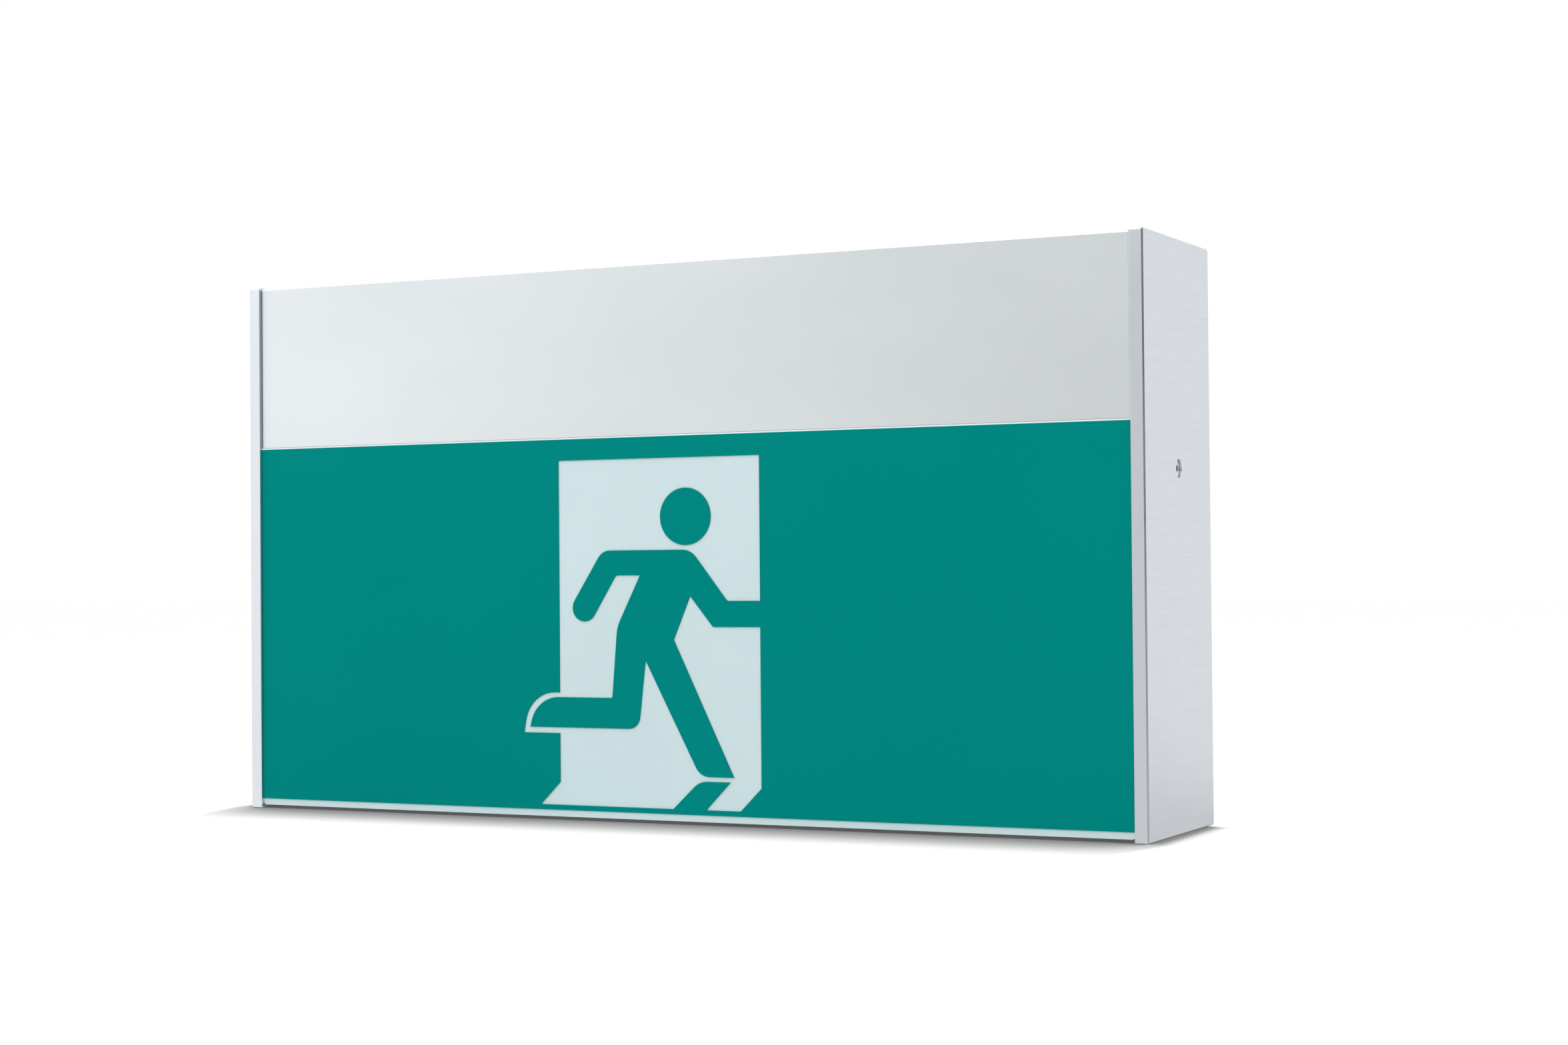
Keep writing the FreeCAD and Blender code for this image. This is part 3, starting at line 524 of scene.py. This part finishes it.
def rounded_path(y0, y1, z0, z1, radius, eye):
    """Points and outward normals round a rectangle with arcs at its corners; along a side they lie at equal angles
    as seen from the eye point."""
    quarter = np.linspace(0.0, np.pi / 2, CORNER_POINTS)
    left, right, bottom, top = y0 + radius, y1 - radius, z0 + radius, z1 - radius
    centres = [(right, bottom), (right, top), (left, top), (left, bottom)]
    points, normals = [], []
    for k, centre in enumerate(centres):
        angle = quarter + (k - 1) * np.pi / 2
        arc = np.stack([np.cos(angle), np.sin(angle)], -1)
        points.append(np.array(centre) + radius * arc)
        normals.append(arc)
        side, along = arc[-1], np.array([-arc[-1][1], arc[-1][0]])
        following = np.array(centres[(k + 1) % 4]) + radius * side
        distance = (points[-1][-1] - eye) @ side
        ends = [math.atan2((end - eye) @ along, distance) for end in (points[-1][-1], following)]
        count = max(3, round((ends[1] - ends[0]) / math.radians(SIDE_STEP)))
        seen = np.linspace(ends[0], ends[1], count + 1)[1:-1]
        points.append(eye + distance * side + np.tan(seen)[:, None] * distance * along)
        normals.append(np.repeat(side[None], len(seen), 0))
    return np.concatenate(points), np.concatenate(normals)


def plate_ring(path, inset, x):
    """Ring of points at x, set in from a path along its normals."""
    points, normals = path
    flat = points - inset * normals
    return np.column_stack([np.full(len(flat), x), flat])


def cap_grids(side):
    """End cap: rings go out from the screw hole over the face, the outer bevel, the edge, the inner bevel and the
    inner face back to the hole. Two locating rims stand inside."""
    low, high = in_mm("end_cap_right")
    eye = np.array([0.0, CAP_SCREW_Z])
    path = rounded_path(low[1], high[1], low[2], high[2], CAP_CORNER_R, eye)
    bearing = (path[0] - eye) / np.linalg.norm(path[0] - eye, axis=1, keepdims=True)
    inner, outer = high[0] - CAP_T, high[0]
    neck = outer - SINK_STEP

    def hole(radius, x):
        return np.column_stack([np.full(len(bearing), x), eye + radius * bearing])

    plate = np.stack([
        hole(HOLE_R, inner), hole(HOLE_R, neck - (SINK_NECK_R - HOLE_R)), hole(SINK_NECK_R, neck), hole(SINK_R, outer),
        plate_ring(path, CAP_BEVEL, outer), plate_ring(path, 0.0, outer - CAP_BEVEL),
        plate_ring(path, 0.0, inner + CAP_INNER_BEVEL), plate_ring(path, CAP_INNER_BEVEL, inner),
    ])
    grids = [(plate, True)]
    for y0, y1, z0, z1 in RIMS:
        middle = np.array([(y0 + y1) / 2, (z0 + z1) / 2])
        wall = rounded_path(y0, y1, z0, z1, RIM_R, middle)
        low_x, high_x = low[0], inner + RIM_FOOT
        rim = np.stack([
            plate_ring(wall, 0.0, high_x), plate_ring(wall, 0.0, low_x), plate_ring(wall, RIM_T, low_x),
            plate_ring(wall, RIM_T, high_x),
        ])
        grids.append((rim, True))
    return [(grid * np.array([side, 1.0, 1.0]), wrapped) for grid, wrapped in grids]


def screw_grid(face_point, inward, length):
    """Countersunk socket screw: a hexagon hole with a drilled bottom, a flat head with an eased rim, a 90 degree
    cone and a shank. Distances run inwards from the face that it is sunk in."""
    neck = HEAD_SUNK + HEAD_R - SHANK_R
    rim = HEAD_R - HEAD_EASE
    profile = [
        (HEAD_SUNK + SOCKET_DEPTH + SOCKET_AF / 4, 0.0), (HEAD_SUNK + SOCKET_DEPTH, SOCKET_AF / 2),
        (HEAD_SUNK + HEAD_EASE, SOCKET_AF / 2), (HEAD_SUNK, SOCKET_AF / 2 + HEAD_EASE), (HEAD_SUNK, rim),
        (HEAD_SUNK + HEAD_EASE / 3, HEAD_R - HEAD_EASE / 3), (HEAD_SUNK + HEAD_EASE, HEAD_R - HEAD_EASE / 2),
        (neck, SHANK_R), (length - SHANK_R / 2, SHANK_R), (length, SHANK_R / 2), (length, 0.0),
    ]
    return turned(profile, face_point, inward, hexagons=(1, 2, 3)), False


def key_profile(low, high):
    """Test key: a dish, which is a parabola over its radius, in a key with eased edges, above it the flange that
    stops it and the stem."""
    reach = np.linspace(0.0, KEY_R - KEY_LIP, DISH_POINTS)
    dish = np.stack([low + DISH_DEPTH * (1 - (reach / reach[-1]) ** 2), reach], -1)
    rest = eased([
        (low, KEY_R - KEY_LIP), (low, KEY_R), (FLANGE_Z, KEY_R), (FLANGE_Z, FLANGE_R),
        (FLANGE_Z + FLANGE_T, FLANGE_R), (FLANGE_Z + FLANGE_T, STEM_R), (high, STEM_R), (high, 0.0),
    ], KEY_EASE)
    return np.concatenate([dish, rest])


def lens_profile(low, high):
    """Light pipe: its end outside is half an ellipse, the radius going with the sine and the drop with the cosine."""
    turn = np.linspace(0.0, np.pi / 2, DOME_POINTS)
    dome = np.stack([low + LENS_PROUD * (1 - np.cos(turn)), LENS_R * np.sin(turn)], -1)
    return np.concatenate([dome, [(high, LENS_R), (high, 0.0)]])


def grommet_profile():
    """Closed profile of a rubber ring that grips the wall in its groove: eight corners, each eased to a soft lip."""
    return eased([
        (-GROMMET_PROUD, GROMMET_BORE_R), (-GROMMET_PROUD, GROMMET_LIP_R), (0.0, GROMMET_LIP_R),
        (0.0, GROMMET_GROOVE_R), (WALL_T, GROMMET_GROOVE_R), (WALL_T, GROMMET_LIP_R),
        (GROMMET_INSIDE, GROMMET_GROOVE_R), (GROMMET_INSIDE, GROMMET_BORE_R),
    ], GROMMET_EASE, closed=True)


for cap, side in (("end_cap_left", -1.0), ("end_cap_right", 1.0)):
    # The outer bevel row is finished with the darker bevel material: painted shade for the dark reflection along the
    # cap's corner
    skin(cap + "_plate", cap_grids(side), brushed, "housing", [cap], shaded_bevel, BEVEL_ROW)

cap_outer = in_mm("end_cap_right")[1][0]
skin("end_cap_socket_screws", [
    screw_grid((side * cap_outer, 0.0, CAP_SCREW_Z), (-side, 0.0, 0.0), CAP_SCREW_LENGTH) for side in (-1.0, 1.0)
], steel, "housing", ["end_cap_screws"])

for name, node, profile, material, body in (
    ("test_key", "test_button", key_profile, grey_abs, "button"),
    ("status_light_pipe", "status_lens", lens_profile, light_pipe, "housing"),
):
    low, high = in_mm(node)
    foot = ((low[0] + high[0]) / 2, (low[1] + high[1]) / 2, 0.0)
    skin(name, [(turned(profile(low[2], high[2]), foot, (0.0, 0.0, 1.0)), False)], material, body, [node])

low, high = in_mm("cable_grommet")
mouth = ((low[0] + high[0]) / 2, high[1] - GROMMET_PROUD, (low[2] + high[2]) / 2)
ring = turned(grommet_profile(), mouth, (0.0, -1.0, 0.0), GROMMET_STEPS)
skin("cable_port_grommet", [(ring, True)], rubber, "housing", ["cable_grommet"])


# ---- floor, light and camera ----

def seen_ray(tree):
    """1 for a ray that shows the surface to the camera, straight or in metal or glass, and 0 for one that lights."""
    path = add(tree, "ShaderNodeLightPath").outputs
    shiny = add(tree, "ShaderNodeMath", {"operation": "MAXIMUM"},
                links={0: path["Is Glossy Ray"], 1: path["Is Transmission Ray"]})
    seen = add(tree, "ShaderNodeMath", {"operation": "MAXIMUM"},
               links={0: path["Is Camera Ray"], 1: shiny.outputs[0]})
    return seen.outputs[0], path["Is Camera Ray"]


def room_light(tree, direction, dim):
    """How bright the room is in a direction: it goes with a smooth step of the direction's part along the way to
    the left, the rear and the ceiling, from dim to 1."""
    across = add(tree, "ShaderNodeVectorMath", {"operation": "DOT_PRODUCT"}, {1: ROOM_LEAN}, {0: direction})
    room = add(tree, "ShaderNodeMapRange", {"interpolation_type": "SMOOTHSTEP"},
               {"From Min": DIM_EDGE, "From Max": LIT_EDGE, "To Min": dim, "To Max": 1.0},
               {"Value": across.outputs["Value"]})
    return room.outputs[0]


def studio_world(fill, dim):
    """Even fill light, seen as a white backdrop, and in metal as a room that is dim in front on the right."""
    world = bpy.data.worlds.new("studio")
    bpy.context.scene.world = world
    world.use_nodes = True
    tree = world.node_tree
    tree.nodes.clear()
    seen, camera = seen_ray(tree)
    side = add(tree, "ShaderNodeTexCoord").outputs["Generated"]
    white = add(tree, "ShaderNodeMath", {"operation": "MAXIMUM"}, links={0: room_light(tree, side, dim), 1: camera})
    strength = add(tree, "ShaderNodeMix", {"data_type": "FLOAT"}, {"A": fill},
                   {"Factor": seen, "B": white.outputs[0]})
    background = add(tree, "ShaderNodeBackground", values={"Color": (1.0, 1.0, 1.0, 1.0)},
                     links={"Strength": strength.outputs["Result"]})
    add(tree, "ShaderNodeOutputWorld", links={"Surface": background.outputs["Background"]})


def studio_floor(radius, dim):
    """White floor that lights the part as pale paint, and is seen as white with a soft contact shadow, which is
    shorter past the part's ends. In metal it is as bright as the room behind it, and from below it isn't seen."""
    material = bpy.data.materials.new("floor_pale")
    material.use_nodes = True
    tree = material.node_tree
    tree.nodes.clear()
    seen, camera = seen_ray(tree)
    place = add(tree, "ShaderNodeTexCoord").outputs["Object"]
    away = add(tree, "ShaderNodeVectorMath", {"operation": "NORMALIZE"}, links={0: place})
    room = room_light(tree, away.outputs["Vector"], dim)
    shown_room = add(tree, "ShaderNodeMath", {"operation": "MAXIMUM"}, links={0: room, 1: camera})
    size = add(tree, "ShaderNodeVectorMath", {"operation": "ABSOLUTE"}, links={0: place})
    sides = add(tree, "ShaderNodeSeparateXYZ", links={0: size.outputs["Vector"]})
    depth = add(tree, "ShaderNodeSeparateXYZ", links={0: place})
    reach = sides.outputs["X"]
    for along, start, taper in (
        (sides.outputs["Y"], cad_high[1], CONTACT_TAPER), (depth.outputs["Y"], CONTACT_REAR, CONTACT_REAR_TAPER),
    ):
        past = add(tree, "ShaderNodeMath", {"operation": "SUBTRACT"}, {1: start}, {0: along})
        past = add(tree, "ShaderNodeMath", {"operation": "MAXIMUM"}, {1: 0.0}, {0: past.outputs[0]})
        reach = add(tree, "ShaderNodeMath", {"operation": "MULTIPLY_ADD"}, {1: taper},
                    {0: past.outputs[0], 2: reach}).outputs[0]
    beyond = add(tree, "ShaderNodeMapRange", {"interpolation_type": "SMOOTHSTEP"},
                 {"From Min": cad_high[0], "From Max": cad_high[0] + CONTACT_END}, {"Value": reach})
    near = add(tree, "ShaderNodeAmbientOcclusion", {"samples": CONTACT_SAMPLES}, {"Distance": CONTACT_REACH})
    contact = add(tree, "ShaderNodeMath", {"operation": "POWER"}, {1: CONTACT_POWER}, {0: near.outputs["AO"]})
    clear = add(tree, "ShaderNodeMath", {"operation": "MAXIMUM"}, links={0: contact.outputs[0], 1: beyond.outputs[0]})
    open_air = add(tree, "ShaderNodeMapRange", values={"From Min": METAL_DARK_AO, "From Max": METAL_CLEAR_AO},
                   links={"Value": near.outputs["AO"]})
    faint = add(tree, "ShaderNodeMath", {"operation": "SUBTRACT"}, links={0: open_air.outputs[0], 1: camera})
    clear = add(tree, "ShaderNodeMath", {"operation": "MAXIMUM"}, links={0: clear.outputs[0], 1: faint.outputs[0]})
    glow = add(tree, "ShaderNodeMapRange", values={"To Min": CONTACT_SHADE, "To Max": FLOOR_GLOW},
               links={"Value": clear.outputs[0]})
    seen_glow = add(tree, "ShaderNodeMath", {"operation": "MULTIPLY"},
                    links={0: glow.outputs[0], 1: shown_room.outputs[0]})
    emission = add(tree, "ShaderNodeEmission", links={"Strength": seen_glow.outputs[0]})
    dull = add(tree, "ShaderNodeBsdfDiffuse", values={"Color": (FLOOR_DULL, FLOOR_DULL, FLOOR_DULL, 1.0)})
    shown = add(tree, "ShaderNodeAddShader", links={0: dull.outputs[0], 1: emission.outputs[0]})
    paint = add(tree, "ShaderNodeBsdfDiffuse", values={"Color": (FLOOR_PAINT, FLOOR_PAINT, FLOOR_PAINT, 1.0)})
    either = add(tree, "ShaderNodeMixShader", links={0: seen, 1: paint.outputs[0], 2: shown.outputs[0]})
    under = add(tree, "ShaderNodeNewGeometry").outputs["Backfacing"]
    from_below = add(tree, "ShaderNodeBsdfTransparent")
    one_sided = add(tree, "ShaderNodeMixShader", links={0: under, 1: either.outputs[0], 2: from_below.outputs[0]})
    add(tree, "ShaderNodeOutputMaterial", links={"Surface": one_sided.outputs[0]})
    corners = [(-radius, -radius, 0.0), (radius, -radius, 0.0), (radius, radius, 0.0), (-radius, radius, 0.0)]
    mesh = bpy.data.meshes.new("floor")
    mesh.from_pydata(corners, [], [(0, 1, 2, 3)])
    mesh.materials.append(material)
    floor = bpy.data.objects.new("floor", mesh)
    bpy.context.collection.objects.link(floor)
    floor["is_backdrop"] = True


def softbox(name, azimuth, elevation, distance, size, radiance):
    """Rectangular lamp round the part's middle, unseen by the camera, that shines evenly at a radiance."""
    lamp = bpy.data.lights.new(name, "AREA")
    lamp.shape = "RECTANGLE"
    lamp.size, lamp.size_y = size
    lamp.energy = radiance * math.pi * size[0] * size[1]
    obj = bpy.data.objects.new(name, lamp)
    bpy.context.collection.objects.link(obj)
    a, e = math.radians(azimuth), math.radians(elevation)
    away = Vector((math.sin(a) * math.cos(e), -math.cos(a) * math.cos(e), math.sin(e)))
    obj.location = Vector(SOFTBOX_AIM) + away * distance
    obj.rotation_euler = away.to_track_quat("Z", "Y").to_euler()
    obj.visible_camera = False


def view_camera():
    """Camera from its azimuth, elevation and roll about a target."""
    camera = bpy.data.objects.new("camera", bpy.data.cameras.new("camera"))
    bpy.context.collection.objects.link(camera)
    camera.data.lens, camera.data.sensor_width = LENS_MM, SENSOR_MM
    camera.data.clip_start, camera.data.clip_end = 0.01, 100.0
    a, e, r = math.radians(VIEW_AZIMUTH), math.radians(VIEW_ELEVATION), math.radians(VIEW_ROLL)
    back = Vector((math.sin(a) * math.cos(e), -math.cos(a) * math.cos(e), math.sin(e)))
    right = Vector((math.cos(a), math.sin(a), 0.0))
    up = back.cross(right)
    across = right * math.cos(r) + up * math.sin(r)
    upright = up * math.cos(r) - right * math.sin(r)
    turn = Matrix((across, upright, back)).transposed()
    camera.matrix_world = Matrix.Translation(Vector(VIEW_TARGET) + back * VIEW_DISTANCE) @ turn.to_4x4()
    bpy.context.scene.camera = camera


studio_world(ROOM_FILL, ROOM_DIM)
studio_floor(FLOOR_RADIUS, FLOOR_DIM)
for box in SOFTBOXES:
    softbox(*box)
view_camera()
bpy.context.scene.view_settings.view_transform = "Standard"

low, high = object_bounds()
